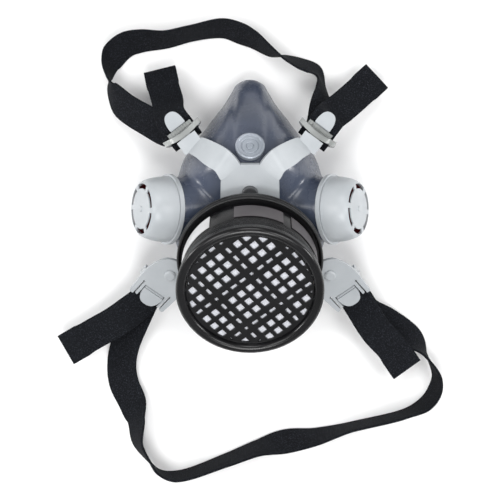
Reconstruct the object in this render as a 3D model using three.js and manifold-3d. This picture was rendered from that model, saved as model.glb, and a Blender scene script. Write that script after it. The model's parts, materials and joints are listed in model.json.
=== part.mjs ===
// Half-mask respirator lying face side down: rubber facepiece, one front filter, two side exhalation
// valves, a harness yoke and two elastic straps. Millimetres, +Z up, +Y towards the nose, and z = 0
// is the surface that the face seal rests on.
import * as THREE from 'three';
import { mergeVertices } from 'three/addons/utils/BufferGeometryUtils.js';
import Module from 'manifold-3d';

const wasm = await Module();
wasm.setup();

// Driving dimensions
const GAP = 0.3;
const STRAP_WIDTH = 20;
const STRAP_THICK = 1.6;
const WALL = 2.8;
const LIP_WIDTH = 9;
const LIP_THICK = 2.6;
const SECTION_POWER = 2.2;
const FRONT_ORIGIN = [0, -6, 53];
const FRONT_TILT = Math.PI / 6;
const VALVE_CENTRE = [49.5, 25, 40];
const VALVE_TILT = Math.PI / 3;
const BUCKLE_CENTRE = [40, 69.7, 45];
const BUCKLE_TURN = Math.atan2(0.6, 0.8);
const STUD_AT = [49.6, -17.2];
const CLIP_TURN = -Math.PI * 50.4 / 180;

// Heights along the filter axis, from the middle of the holder's flange
const RUBBER_FRONT = -15.8;
const BOSS_BACK = -22;
const YOKE_BACK = -15.5;
const YOKE_FRONT = -13;
const CLIP_BASE = YOKE_FRONT + GAP;
const CAN_BASE = 3.3;
const CAN_MOUTH = 30;

// Radii about the filter axis
const PORT_RADIUS = 20.5;
const SEAT_BORE = 17.8;
const HOLDER_RADIUS = 44;
const CAN_RADIUS = 40;
const GRILLE_RADIUS = 36.5;
const COLLAR_RADIUS = 23;
const COLLAR_HOLE = COLLAR_RADIUS + GAP;
const SPIGOT_OUTER = 17.4;
const SPIGOT_BORE = 14.8;
const CAN_INNER = 38.2;

// Exhalation valves, about each valve's axis
const NECK_RADIUS = 19.4;
const NECK_BORE = 15;
const COVER_TOP = 19;
const SLOT_COUNT = 6;
const SLOT_ARC = Math.PI * 2 / SLOT_COUNT - 0.22;

// Upper buckle ring and its pin, and the strap bar of the lower clip
const RING_RADIUS = 6.5;
const RING_SHIFT = 6.8;
const PIN_AT = [-4.4, 4.5];
const BAR_AT = [11, -4.3];

// Lattice of the front grille
const ROW_PITCH = 6.6;
const WIDE_HOLE = 4.3;
const NARROW_HOLE = 2.2;
const NARROW_ROW_AT = 8;
const LATTICE_TURN = Math.PI * 40.4 / 180;

// Facepiece sections: [y, half width, ridge height, edge height]
const SECTIONS = [
  [-33, 4, 9, 5],
  [-31, 14, 14.5, 4],
  [-26, 25, 21, 2.5],
  [-16, 37, 28.6, 0],
  [0, 46.5, 37.8, 0],
  [20, 50, 49.3, 0],
  [40, 49, 60.9, 0],
  [48, 46.5, 65.2, 0],
  [60, 42, 64.2, 0],
  [68, 36.5, 59.4, 1.5],
  [76, 30, 53, 3],
  [85, 23, 44.5, 5.5],
  [94, 15.5, 34.5, 8.5],
  [102, 10.5, 25.5, 11],
  [107, 7, 18.5, 12.5],
  [109, 3, 15.5, 13.5],
];
const CAVITY_SECTIONS = [2, 13];

// Strap routes: free stations [x, y, z, tilt of the width out of level in degrees]
const HEAD_TAIL_LEFT = [
  [-57.9, 115.1, 12, 180],
  [-55.4, 105.1, 19, 180],
  [-51.5, 93, 30, 180],
];
const HEAD_LOOP = [
  [-51.5, 74.5, 30, 13],
  [-63.5, 80.8, 24.5, 26],
  [-81.9, 93.1, 15, 37],
  [-89.1, 103.3, 10.2, 66],
  [-90.9, 111.5, 10.6, 92],
  [-90.3, 120, 10.2, 115],
  [-87.7, 125.9, 9, 132],
  [-80.2, 132.5, 9, 130],
  [-70.1, 135, 9.4, 123],
  [-54.4, 135.7, 10.2, 111],
  [-38, 139.6, 10.4, 107],
  [-17.4, 142.9, 10, 115],
  [-6, 139.6, 9.8, 119],
  [2.6, 135.4, 10.2, 111],
  [13.5, 127.8, 10.6, 96],
  [22.6, 124.1, 10.4, 73],
  [32.3, 120.3, 9.8, 61],
  [41.2, 116.4, 10, 58],
  [46, 107.1, 12.5, 78],
  [47.3, 97.3, 19, 60],
  [46, 86, 29, 24],
];
const HEAD_TAIL_RIGHT = [
  [51.5, 84.5, 32, 180],
  [59.9, 91.5, 25, 180],
  [81, 111.2, 12, 180],
];
const NECK_TAIL_RIGHT = [
  [99.9, -75.9, 17.5, 180],
  [89.8, -61.8, 19.3, 180],
  [80, -51.2, 20.5, 180],
];
const NECK_LOOP = [
  [76, -40.3, 9.8, 6],
  [89, -47, 5.6, 16],
  [103.3, -56.3, 7, 34],
  [112.8, -67, 10.6, 80],
  [120.4, -81.3, 10.6, 95],
  [119, -91, 10.4, 104],
  [112.9, -99.3, 10.4, 104],
  [99.6, -105.7, 10.6, 95],
  [64.9, -114.1, 10.6, 96],
  [41.3, -120.6, 10.2, 113],
  [23.1, -123.5, 9.2, 128],
  [5, -127.7, 10.4, 109],
  [-15.1, -135.4, 10.5, 103],
  [-47.1, -145.8, 10.6, 97],
  [-58.9, -143, 10.6, 84],
  [-65.1, -136, 10.5, 77],
  [-72.4, -124.5, 10, 65],
  [-73.6, -109.8, 8.2, 50],
  [-76.2, -99.7, 4.5, 20],
  [-82.1, -86.7, 3.2, 10],
  [-83.4, -74.6, 4.5, 14],
  [-80.5, -60, 7.5, 16],
];
const NECK_TAIL_LEFT = [
  [-84, -44.5, 20.5, 180],
  [-99.5, -53.4, 17, 180],
  [-117.6, -63.9, 14, 180],
];

const COLOURS = {
  rubber: [0x585c70, 0.42, 0],
  lightPlastic: [0xcdd2d7, 0.45, 0],
  clearPlastic: [0xa9b1aa, 0.25, 0],
  blackPlastic: [0x17181b, 0.3, 0],
  darkPlastic: [0x4a4c50, 0.5, 0],
  redSilicone: [0xb03a42, 0.5, 0],
  silicone: [0xd8d4c8, 0.5, 0],
  webbing: [0x232529, 0.9, 0],
  felt: [0xe1e2e8, 1, 0],
  paper: [0xc9c4b4, 0.9, 0],
  charcoal: [0x2a2a2a, 1, 0],
  label: [0x645c5f, 0.6, 0],
  sticker: [0xe8e8e8, 0.5, 0],
  steel: [0xb8bcc0, 0.3, 1],
};

const respirator = new THREE.Group();
const front = childGroup(respirator, FRONT_ORIGIN, [FRONT_TILT, 0, 0]);
const sides = [['left', -1], ['right', 1]];

// Geometry tools: every shape is an indexed, closed BufferGeometry

function childGroup(parent, position, rotation) {
  const group = new THREE.Group();
  group.position.set(...position);
  group.rotation.set(...rotation);
  parent.add(group);
  group.updateWorldMatrix(true, false);
  return group;
}

function closed(geometry) {
  const bare = geometry.clone();
  for (const name of Object.keys(bare.attributes)) {
    if (name !== 'position') bare.deleteAttribute(name);
  }
  return mergeVertices(bare, 1e-4);
}

function toSolid(geometry) {
  const { position } = geometry.attributes;
  return new wasm.Manifold(new wasm.Mesh({
    numProp: 3,
    vertProperties: new Float32Array(position.array),
    triVerts: new Uint32Array(geometry.index.array),
  }));
}

function toGeometry(solid) {
  const mesh = solid.getMesh();
  const geometry = new THREE.BufferGeometry();
  geometry.setAttribute('position', new THREE.BufferAttribute(new Float32Array(mesh.vertProperties), 3));
  geometry.setIndex(new THREE.BufferAttribute(new Uint32Array(mesh.triVerts), 1));
  return geometry;
}

function join(...shapes) {
  return toGeometry(shapes.map(toSolid).reduce((sum, solid) => sum.add(solid)));
}

function cut(base, ...tools) {
  return toGeometry(tools.map(toSolid).reduce((rest, solid) => rest.subtract(solid), toSolid(base)));
}

function common(base, tool) {
  return toGeometry(toSolid(base).intersect(toSolid(tool)));
}

function placed(shape, group) {
  return shape.clone().applyMatrix4(group.matrixWorld);
}

function moved(shape, x, y, z) {
  return shape.clone().translate(x, y, z);
}

function addNode(parent, name, shape, look) {
  const [color, roughness, metalness] = COLOURS[look];
  const mesh = new THREE.Mesh(shape, new THREE.MeshStandardMaterial({ color, roughness, metalness }));
  mesh.name = name;
  parent.add(mesh);
}

// A solid turned about z from [radius, height] points, given anticlockwise.
function lathe(points, segments = 26) {
  const profile = points.map(([radius, height]) => new THREE.Vector2(radius, height));
  profile.push(profile[0].clone());
  return closed(new THREE.LatheGeometry(profile, segments).rotateX(Math.PI / 2));
}

function ring(inner, outer, low, high, segments = 26) {
  return lathe([[inner, low], [outer, low], [outer, high], [inner, high]], segments);
}

function disc(radius, low, high, segments = 26) {
  return rod(radius, [0, 0, low], [0, 0, high], segments);
}

function rod(radius, from, to, segments = 12) {
  const start = new THREE.Vector3(...from);
  const along = new THREE.Vector3(...to).sub(start);
  const upright = new THREE.Vector3(0, 1, 0);
  const turn = new THREE.Quaternion().setFromUnitVectors(upright, along.clone().normalize());
  const middle = start.addScaledVector(along, 0.5);
  const geometry = new THREE.CylinderGeometry(radius, radius, along.length(), segments);
  return closed(geometry.applyQuaternion(turn).translate(...middle.toArray()));
}

function box(low, high) {
  const size = low.map((value, axis) => high[axis] - value);
  const middle = low.map((value, axis) => (value + high[axis]) / 2);
  return closed(new THREE.BoxGeometry(...size).translate(...middle));
}

function slab(points, low, high) {
  const shape = new THREE.Shape(points.map(([x, y]) => new THREE.Vector2(x, y)));
  return extruded(shape, low, high);
}

function extruded(shape, low, high) {
  const depth = high - low;
  const geometry = new THREE.ExtrudeGeometry(shape, { depth, bevelEnabled: false, curveSegments: 7 });
  return closed(geometry.translate(0, 0, low));
}

function mirroredOutline(half) {
  const other = half.map(([x, y]) => [x, -y]).reverse();
  return [...half, ...other.filter(([, y]) => y !== 0)];
}

// A closed solid through rings of the same number of points; capFaces triangulates an end ring.
function loft(rings, capFaces) {
  const count = rings[0].length;
  const last = (rings.length - 1) * count;
  const index = [];
  for (let start = 0; start < last; start += count) {
    for (let side = 0; side < count; side += 1) {
      const next = start + (side + 1) % count;
      index.push(start + side, next, next + count, start + side, next + count, start + side + count);
    }
  }
  for (const [a, b, c] of capFaces(rings[0])) index.push(a, c, b);
  for (const [a, b, c] of capFaces(rings.at(-1))) index.push(last + a, last + b, last + c);
  const geometry = new THREE.BufferGeometry();
  const numbers = rings.flat().flatMap((point) => point.toArray());
  geometry.setAttribute('position', new THREE.Float32BufferAttribute(numbers, 3));
  geometry.setIndex(index);
  return facingOut(geometry);
}

function facingOut(geometry) {
  const { position } = geometry.attributes;
  const index = Array.from(geometry.index.array);
  const corner = (place) => new THREE.Vector3().fromBufferAttribute(position, index[place]);
  let volume = 0;
  for (let face = 0; face < index.length; face += 3) {
    volume += corner(face).dot(corner(face + 1).cross(corner(face + 2)));
  }
  if (volume < 0) geometry.setIndex(index.reverse());
  return geometry;
}

function quadCap() {
  return [[0, 1, 2], [0, 2, 3]];
}

// Triangles of a flat end ring, turned the same way round as the ring itself.
function sectionCap(points) {
  const flat = points.map((point) => new THREE.Vector2(point.x, point.z));
  const faces = THREE.ShapeUtils.triangulateShape(flat, []);
  const sameWay = (face) => THREE.ShapeUtils.isClockWise(face.map((corner) => flat[corner]))
    === THREE.ShapeUtils.isClockWise(flat);
  return faces.map((face) => (sameWay(face) ? face : [...face].reverse()));
}

// Facepiece

function arch(y, halfWidth, ridge, edge, steps = 14) {
  const power = 2 / SECTION_POWER;
  const points = [];
  for (let step = 0; step <= steps; step += 1) {
    const angle = Math.PI * step / steps;
    const across = Math.sign(Math.cos(angle)) * Math.abs(Math.cos(angle)) ** power;
    const up = Math.max(Math.sin(angle), 0) ** power;
    points.push(new THREE.Vector3(halfWidth * across, y, edge + (ridge - edge) * up));
  }
  return points;
}

function outerShell() {
  return loft(SECTIONS.map(([y, halfWidth, ridge, edge]) => arch(y, halfWidth, ridge, edge)), sectionCap);
}

function cavity() {
  const below = -20;
  const sections = SECTIONS.slice(...CAVITY_SECTIONS).map(([y, halfWidth, ridge, edge]) => {
    const lip = halfWidth - LIP_WIDTH;
    const mouth = [[-lip, LIP_THICK], [-lip, below], [lip, below], [lip, LIP_THICK]];
    const inner = arch(y, halfWidth - WALL, ridge - WALL * 1.15, edge + LIP_THICK);
    return [...inner, ...mouth.map(([x, z]) => new THREE.Vector3(x, y, edge + z))];
  });
  return loft(sections, sectionCap);
}

function valveGroups() {
  return sides.map(([, sign]) => childGroup(
    respirator,
    [sign * VALVE_CENTRE[0], VALVE_CENTRE[1], VALVE_CENTRE[2]],
    [0, sign * VALVE_TILT, 0],
  ));
}

const [leftValve, rightValve] = valveGroups();

function facepiece() {
  const necks = [leftValve, rightValve].map((group) => placed(disc(NECK_RADIUS, -20, -GAP), group));
  const bores = [leftValve, rightValve].map((group) => placed(disc(NECK_BORE, -30, 1), group));
  const portBoss = placed(disc(26, BOSS_BACK, RUBBER_FRONT), front);
  const portBore = placed(disc(PORT_RADIUS, BOSS_BACK - 6, RUBBER_FRONT + 2), front);
  return cut(join(cut(join(outerShell(), ...necks), cavity()), portBoss), portBore, ...bores);
}

function noseBadge() {
  const holder = childGroup(respirator, [0, 60.5, 64.6], [-0.42, 0, 0]);
  const face = lathe([[0, -0.6], [8.7, -0.6], [8.7, 2.2], [8, 2.7], [7.4, 2.7], [7.1, 2.1], [0, 2.1]], 24);
  const nose = outerShell().translate(0, 0, GAP);
  addNode(respirator, 'nose_badge', cut(placed(face, holder), nose), 'clearPlastic');
}

// Yoke

// A flat arm through stations of [upper edge point, lower edge point], thickness below them.
function arm(stations, thickness, sign) {
  const rings = stations.map(([upper, lower], place) => {
    const before = stations[Math.max(place - 1, 0)][0];
    const after = stations[Math.min(place + 1, stations.length - 1)][0];
    const high = new THREE.Vector3(...upper);
    const low = new THREE.Vector3(...lower);
    const along = new THREE.Vector3(...after).sub(new THREE.Vector3(...before));
    const down = new THREE.Vector3().subVectors(high, low).cross(along);
    down.normalize().multiplyScalar(thickness);
    if (down.z > 0) down.negate();
    const points = [high, low, low.clone().add(down), high.clone().add(down)];
    return points.map((point) => new THREE.Vector3(point.x * sign, point.y, point.z));
  });
  return loft(rings, quadCap);
}

const UPPER_ARM = [
  [[3, 45, 67.3], [3, 34, 61]],
  [[7, 51.5, 71], [16.8, 40.8, 64.8]],
  [[12.5, 58, 70.6], [20.5, 46.2, 67.4]],
  [[19, 62.4, 66.8], [26.6, 50.4, 63.4]],
  [[31, 68.6, 50], [39.6, 60.6, 50]],
];

function yokePlate() {
  const collarHole = disc(COLLAR_HOLE, YOKE_BACK - 1, YOKE_FRONT + 1);
  const top = slab(mirroredOutline([[57, 0], [57, 7], [46, 17.3], [20, 18], [10, 24]]
    .map(([v, u]) => [v, u])), YOKE_BACK, YOKE_FRONT).rotateZ(Math.PI / 2);
  const hub = disc(29, YOKE_BACK, YOKE_FRONT);
  const lowerArms = sides.flatMap(([, sign]) => {
    const outline = [[16, 8], [STUD_AT[0], -10.7], [STUD_AT[0], -23.7], [14, -28]];
    return [
      slab(outline.map(([u, v]) => [sign * u, v]), YOKE_BACK, YOKE_FRONT),
      moved(disc(6.5, YOKE_BACK, YOKE_FRONT, 16), sign * STUD_AT[0], STUD_AT[1], 0),
    ];
  });
  const studHoles = sides.map(([, sign]) => (
    moved(disc(2.8, -20, -10, 14), sign * STUD_AT[0], STUD_AT[1], 0)
  ));
  return cut(join(hub, top, ...lowerArms), collarHole, ...studHoles);
}

function harnessYoke(buckles) {
  const arms = sides.map(([, sign]) => arm(UPPER_ARM, 2.4, sign));
  const ears = buckles.flatMap((group) => [-1, 1].map((end) => {
    const edges = [3.9 * end, 6.6 * end].sort((a, b) => a - b);
    return placed(box([edges[0], -9, 1.8], [edges[1], -2.6, 6.2]), group);
  }));
  const pinHoles = buckles.map((group) => placed(rod(1.2, [-12, ...PIN_AT], [12, ...PIN_AT]), group));
  const nose = outerShell().translate(0, 0, GAP);
  const whole = cut(join(placed(yokePlate(), front), ...arms, ...ears), nose, ...pinHoles);
  const collarHole = placed(disc(COLLAR_HOLE, YOKE_BACK - 6, YOKE_FRONT + 6), front);
  addNode(respirator, 'harness_yoke', cut(whole, collarHole), 'lightPlastic');
}

function yokePlug() {
  const face = lathe([
    [0, 0], [4.8, 0], [4.8, 1.6], [4.2, 2.1], [3.2, 2.1], [3, 1.5], [0.8, 1.5], [0.6, 0.6], [0, 0.6],
  ], 18);
  addNode(front, 'yoke_plug', moved(face, 0, 38.7, YOKE_FRONT + GAP), 'darkPlastic');
}

// Inhalation port and holder

function inhalationPort() {
  const body = lathe([
    [SEAT_BORE, -24.3], [22, -24.3], [22, BOSS_BACK - GAP], [20.2, BOSS_BACK - GAP],
    [20.2, -5], [SEAT_BORE, -5],
  ], 28);
  const shoulder = ring(14.5, SEAT_BORE + 0.5, -16, -13.3);
  const spoke = box([-1, 1.5, -15.5], [1, 15.2, -13.3]);
  const spokes = [0, 1, 2].map((turn) => spoke.clone().rotateZ(turn * Math.PI * 2 / 3));
  const seat = join(body, shoulder, ring(1.5, 3.2, -15.5, -13.3, 20), ...spokes);
  addNode(front, 'inhalation_seat', seat, 'blackPlastic');
  const flap = join(disc(16.6, -17.2, -16.4), disc(1.2, -16.8, -14, 12));
  addNode(front, 'inhalation_diaphragm', flap, 'silicone');
  addNode(front, 'port_gasket', ring(14.8, 17.3, -13, -10.6), 'silicone');
}

function cartridgeHolder() {
  const profile = [
    [PORT_RADIUS, YOKE_BACK], [COLLAR_RADIUS, YOKE_BACK], [COLLAR_RADIUS, -4.5], [26, -3], [42.8, -3],
    [HOLDER_RADIUS, -2], [HOLDER_RADIUS, -0.7], [43.2, 0], [HOLDER_RADIUS, 0.7], [HOLDER_RADIUS, 2],
    [43, 3], [PORT_RADIUS, 3],
  ];
  addNode(front, 'cartridge_holder', lathe(profile, 34), 'blackPlastic');
}

// Filter cartridge


function cartridge() {
  const shell = lathe([
    [SPIGOT_BORE, -10], [SPIGOT_OUTER, -10], [SPIGOT_OUTER, CAN_BASE], [CAN_RADIUS, CAN_BASE],
    [CAN_RADIUS, CAN_MOUTH], [CAN_INNER, CAN_MOUTH], [CAN_INNER, CAN_BASE + 2], [SPIGOT_BORE, CAN_BASE + 2],
  ], 34);
  addNode(front, 'cartridge_can', shell, 'blackPlastic');
  addNode(front, 'rear_screen', disc(CAN_INNER - GAP, 5.6, 6.6), 'felt');
  addNode(front, 'sorbent_bed', disc(CAN_INNER - GAP, 6.9, 18), 'charcoal');
  addNode(front, 'particle_filter', disc(CAN_INNER - GAP, 18.3, 28.5), 'paper');
  addNode(front, 'prefilter_pad', disc(GRILLE_RADIUS, 30.4, 33.4), 'felt');
  const bands = [['cartridge_label', 62, 103, 'label'], ['sticker_left', 125, 170, 'sticker'],
    ['sticker_right', 14, 54, 'label']];
  for (const [name, from, to, look] of bands) {
    addNode(front, name, labelBand(from, to), look);
  }
}

function labelBand(fromDegrees, toDegrees) {
  const inner = CAN_RADIUS + GAP;
  const from = fromDegrees * Math.PI / 180;
  const to = toDegrees * Math.PI / 180;
  const shape = new THREE.Shape();
  shape.absarc(0, 0, inner + 0.4, from, to, false);
  shape.absarc(0, 0, inner, to, from, true);
  return extruded(shape, 7, 19.5);
}

function frontRim() {
  const lip = Array.from({ length: 5 }, (_, step) => {
    const angle = Math.PI * (step / 4 - 0.25);
    return [39.6 + 2.9 * Math.cos(angle), 35.4 + 2.6 * Math.sin(angle)];
  });
  const profile = [
    [CAN_RADIUS + GAP, 27], [41.6, 27], [41.6, 31], ...lip,
    [GRILLE_RADIUS + GAP, 35.4], [GRILLE_RADIUS + GAP, CAN_MOUTH + GAP],
    [CAN_RADIUS + GAP, CAN_MOUTH + GAP],
  ];
  addNode(front, 'cartridge_front_rim', lathe(profile, 34), 'blackPlastic');
}

// Square holes in rows both ways, every fourth row being narrow.
function latticeHoles(low, high) {
  const rows = Array.from({ length: 12 }, (_, place) => place - 6);
  const holeHalf = (row) => (row % 4 === 0 ? NARROW_HOLE : WIDE_HOLE) / 2;
  const rowCentre = (row) => NARROW_ROW_AT + row * ROW_PITCH;
  const isInside = ([a, b]) => Math.hypot(rowCentre(a), rowCentre(b)) < GRILLE_RADIUS - 3;
  const places = rows.flatMap((a) => rows.map((b) => [a, b])).filter(isInside);
  return places.map(([a, b]) => box(
    [rowCentre(a) - holeHalf(a), rowCentre(b) - holeHalf(b), low],
    [rowCentre(a) + holeHalf(a), rowCentre(b) + holeHalf(b), high],
  ));
}

function grille() {
  const low = 33.7;
  const high = 34.9;
  const inside = disc(GRILLE_RADIUS - 2, low - 1, high + 1, 32);
  const holes = common(join(...latticeHoles(low - 1, high + 1)), inside);
  const web = cut(disc(GRILLE_RADIUS, low, high, 32), holes);
  addNode(front, 'cartridge_grille', web.rotateZ(LATTICE_TURN), 'blackPlastic');
}

// Exhalation valves

function exhalationValve(name, group) {
  const flange = lathe([
    [12.5, -8], [14.7, -8], [14.7, 0], [21.6, 0], [21.6, 2.4], [14, 2.4], [13.6, 3.2], [12.5, 3.2],
  ]);
  const spokes = [0, 1].map((turn) => box([-13, -0.8, -2], [13, 0.8, 1.8]).rotateZ(turn * Math.PI / 2));
  const hub = cut(disc(3, -2, 1.8, 20), disc(1.5, -3, 3, 16));
  const seat = join(flange, cut(join(...spokes), disc(2.5, -3, 3, 20)), hub);
  addNode(group, `exhalation_seat_${name}`, seat, 'lightPlastic');
  const flap = join(disc(14.6, 3.6, 4.5), disc(1.2, -1, 4, 12));
  addNode(group, `exhalation_diaphragm_${name}`, flap, 'redSilicone');
  addNode(group, `exhalation_cover_${name}`, exhalationCover(), 'lightPlastic');
}


function exhalationCover() {
  const cup = lathe([
    [18.2, 2.7], [20.2, 2.7], [19.8, 8], [18.4, 14], [16.6, 17.6], [15.6, COVER_TOP], [0, COVER_TOP],
    [0, COVER_TOP - 1.8], [14.4, COVER_TOP - 1.8], [16.6, 13.4], [18, 8],
  ], 28);
  const slots = Array.from({ length: SLOT_COUNT }, (_, place) => {
    const start = place * Math.PI * 2 / SLOT_COUNT;
    const shape = new THREE.Shape();
    shape.absarc(0, 0, 15.3, start, start + SLOT_ARC, false);
    shape.absarc(0, 0, 12.3, start + SLOT_ARC, start, true);
    return extruded(shape, 15.2, COVER_TOP + 1);
  });
  return join(cut(cup, ...slots), disc(1.6, COVER_TOP - 1, COVER_TOP + 0.8, 10));
}

// Upper buckles

function upperBuckle(name, group) {
  const plate = new THREE.Shape();
  plate.absarc(-RING_SHIFT, 0, RING_RADIUS, Math.PI / 2, Math.PI * 1.5, false);
  plate.absarc(RING_SHIFT, 0, RING_RADIUS, -Math.PI / 2, Math.PI / 2, false);
  const frame = extruded(plate, -1.6, 1.6).rotateX(Math.PI / 2);
  const window = box([-10.7, -3, -3.1], [10.7, 3, 2.4]);
  const cam = box([-8.5, 1.2, 0.2], [8.5, 5.6, 4.4]);
  const tongue = box([-3.5, -6.3, 2.8], [3.5, -1, 6.2]);
  const pinHole = rod(1.3, [-6, ...PIN_AT], [6, ...PIN_AT]);
  const ringFrame = cut(join(cut(frame, window), cam, tongue), pinHole);
  addNode(group, `upper_buckle_${name}`, ringFrame, 'clearPlastic');
  addNode(group, `buckle_pin_${name}`, rod(1, [-6.6, ...PIN_AT], [6.6, ...PIN_AT]), 'steel');
  const pad = thumbPad(9.6, 5.5, 0.8, 2.8).rotateZ(Math.PI / 2).translate(0, 6.9, 0);
  const knuckle = rod(1, [-5.3, 6.9, 1.8], [5.3, 6.9, 1.8]);
  addNode(group, `upper_lever_${name}`, join(pad, knuckle), 'lightPlastic');
}

// A D-shaped pad standing on its straight side at x = 0.
function thumbPad(length, halfWidth, low, high) {
  const shape = new THREE.Shape();
  shape.absellipse(0, 0, length, halfWidth, -Math.PI / 2, Math.PI / 2, false, 0);
  return extruded(shape, low, high);
}

// Lower clips

const CLIP_HALF = [
  [-11, 0], [-10, 5], [-8.5, 8.1], [-3, 11.5], [4, 13.6], [10, 14], [18, 13.4], [25, 12.9], [25, 10.2],
  [13.3, 10.2], [13.3, 9.3], [24, 9], [24, 7.5], [15.1, 7.5], [15.1, 0],
];

function lowerClip(name, group) {
  const plate = slab(mirroredOutline(CLIP_HALF), 0, 2.4);
  const lugs = [-1, 1].map((end) => {
    const edges = [10.9 * end, 13.4 * end].sort((a, b) => a - b);
    return box([8, edges[0], -7], [14, edges[1], 0.4]);
  });
  const barHole = rod(1.6, [BAR_AT[0], -15, BAR_AT[1]], [BAR_AT[0], 15, BAR_AT[1]]);
  const frame = cut(join(plate, ...lugs), barHole, disc(2.8, -1, 4, 14));
  addNode(group, `lower_clip_${name}`, frame, 'lightPlastic');
  const bar = rod(1.3, [BAR_AT[0], -13.4, BAR_AT[1]], [BAR_AT[0], 13.4, BAR_AT[1]]);
  addNode(group, `strap_bar_${name}`, bar, 'steel');
  const pad = moved(thumbPad(9.6, 7, 0, 3.4), 16.7, 0, 0);
  const knuckle = rod(1.2, [16.7, -6.9, 1.2], [16.7, 6.9, 1.2]);
  addNode(group, `lower_lever_${name}`, join(pad, knuckle), 'lightPlastic');
  const stud = lathe([
    [0, -4.2], [3.6, -4.2], [3.6, -3.1], [2.5, -3.1],
    [2.5, 2.7], [3.6, 2.7], [3.6, 3.3], [2.6, 4.1], [0, 4.1],
  ], 14);
  addNode(group, `clip_stud_${name}`, stud, 'lightPlastic');
}

// Straps

const LEVEL_TILT = new THREE.Vector3(0, 0, 1);

function freeStations(route) {
  return route.map(([x, y, z, tilt], place) => {
    const before = route[Math.max(place - 1, 0)];
    const after = route[Math.min(place + 1, route.length - 1)];
    const level = new THREE.Vector3(after[1] - before[1], before[0] - after[0], 0).normalize();
    const angle = tilt * Math.PI / 180;
    const across = level.multiplyScalar(Math.cos(angle)).addScaledVector(LEVEL_TILT, Math.sin(angle));
    return { at: new THREE.Vector3(x, y, z), across };
  });
}

// A half turn about a bar, in the frame of its group, from the run above it to the run below it.
function wrapStations(group, points, lateral, sign) {
  const across = new THREE.Vector3(...lateral).multiplyScalar(-sign).transformDirection(group.matrixWorld);
  return points.map((point) => {
    const at = new THREE.Vector3(...point).applyMatrix4(group.matrixWorld);
    return { at, across };
  });
}

function halfTurn(radius, steps = 4) {
  return Array.from({ length: steps + 1 }, (_, step) => {
    const angle = Math.PI * (0.5 + step / steps);
    return [radius * Math.cos(angle), radius * Math.sin(angle)];
  });
}

function upperWrap(group, sign) {
  const turn = halfTurn(3.3).map(([out, up]) => [0, out - 0.3, up - 4.8]);
  return wrapStations(group, [[0, 14, -1.7], [0, 6, -1.5], ...turn, [0, 5.5, -8.4]], [1, 0, 0], sign);
}

function lowerWrap(group, sign) {
  const turn = halfTurn(2.4).map(([out, up]) => [out + BAR_AT[0], 0, up + BAR_AT[1]]);
  const points = [[27, 0, -2.4], [19, 0, -1.9], ...turn, [18, 0, -6.7], [24, 0, -7.4]];
  return wrapStations(group, points, [0, 1, 0], sign);
}

function ribbon(stations, first, last) {
  const path = new THREE.CatmullRomCurve3(stations.map(({ at }) => at));
  const lean = new THREE.CatmullRomCurve3(stations.map(({ across }) => across));
  const spans = stations.length - 1;
  const steps = Math.round((last - first) * 3);
  const rings = [];
  for (let step = 0; step <= steps; step += 1) {
    const place = (first + (last - first) * step / steps) / spans;
    const tangent = path.getTangent(place);
    const across = lean.getPoint(place);
    across.addScaledVector(tangent, -across.dot(tangent)).normalize().multiplyScalar(STRAP_WIDTH / 2);
    const thick = tangent.clone().cross(across).normalize().multiplyScalar(STRAP_THICK / 2);
    const middle = path.getPoint(place);
    rings.push([[1, 1], [-1, 1], [-1, -1], [1, -1]].map(([side, face]) => middle.clone()
      .addScaledVector(across, side).addScaledVector(thick, face)));
  }
  return loft(rings, quadCap);
}

// The strap in three pieces: an end that moves with each buckle or clip, and the loop between them.
function strap(name, endNames, start, loop, end) {
  const stations = [...start, ...loop, ...end];
  const firstCut = start.length + 1;
  const lastCut = start.length + loop.length - 2;
  const slit = (place) => GAP / 2 / stations[place].at.distanceTo(stations[place + 1].at);
  const pieces = [
    [`${name}_${endNames[0]}`, 0, firstCut - slit(firstCut)],
    [`${name}_loop`, firstCut + slit(firstCut), lastCut - slit(lastCut)],
    [`${name}_${endNames[1]}`, lastCut + slit(lastCut), stations.length - 1],
  ];
  for (const [node, from, to] of pieces) {
    addNode(respirator, node, ribbon(stations, from, to), 'webbing');
  }
}

function headStrap(buckles) {
  const start = [...freeStations(HEAD_TAIL_LEFT), ...upperWrap(buckles[0], -1)];
  const loop = freeStations(HEAD_LOOP);
  const end = [...upperWrap(buckles[1], 1).reverse(), ...freeStations(HEAD_TAIL_RIGHT)];
  strap('head_strap', ['left', 'right'], start, loop, end);
}

function neckStrap(clips) {
  const start = [...freeStations(NECK_TAIL_RIGHT), ...lowerWrap(clips[1], 1)];
  const loop = freeStations(NECK_LOOP);
  const end = [...lowerWrap(clips[0], -1).reverse(), ...freeStations(NECK_TAIL_LEFT)];
  strap('neck_strap', ['right', 'left'], start, loop, end);
}

// Assembly

const buckleGroups = sides.map(([, sign]) => childGroup(
  respirator,
  [sign * BUCKLE_CENTRE[0], BUCKLE_CENTRE[1], BUCKLE_CENTRE[2]],
  [0, 0, -sign * BUCKLE_TURN],
));
const clipGroups = sides.map(([, sign]) => childGroup(
  front,
  [sign * STUD_AT[0], STUD_AT[1], CLIP_BASE],
  [0, 0, sign > 0 ? CLIP_TURN : -Math.PI - CLIP_TURN],
));

addNode(respirator, 'facepiece', facepiece(), 'rubber');
noseBadge();
harnessYoke(buckleGroups);
yokePlug();
inhalationPort();
cartridgeHolder();
cartridge();
frontRim();
grille();
sides.forEach(([name], place) => {
  exhalationValve(name, [leftValve, rightValve][place]);
  upperBuckle(name, buckleGroups[place]);
  lowerClip(name, clipGroups[place]);
});
headStrap(buckleGroups);
neckStrap(clipGroups);

export default respirator;
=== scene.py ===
"""Half-mask respirator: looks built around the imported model, in metres and in its frame."""
import json
import math

import bmesh
import bpy
import numpy as np
from mathutils import Matrix, Vector


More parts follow.
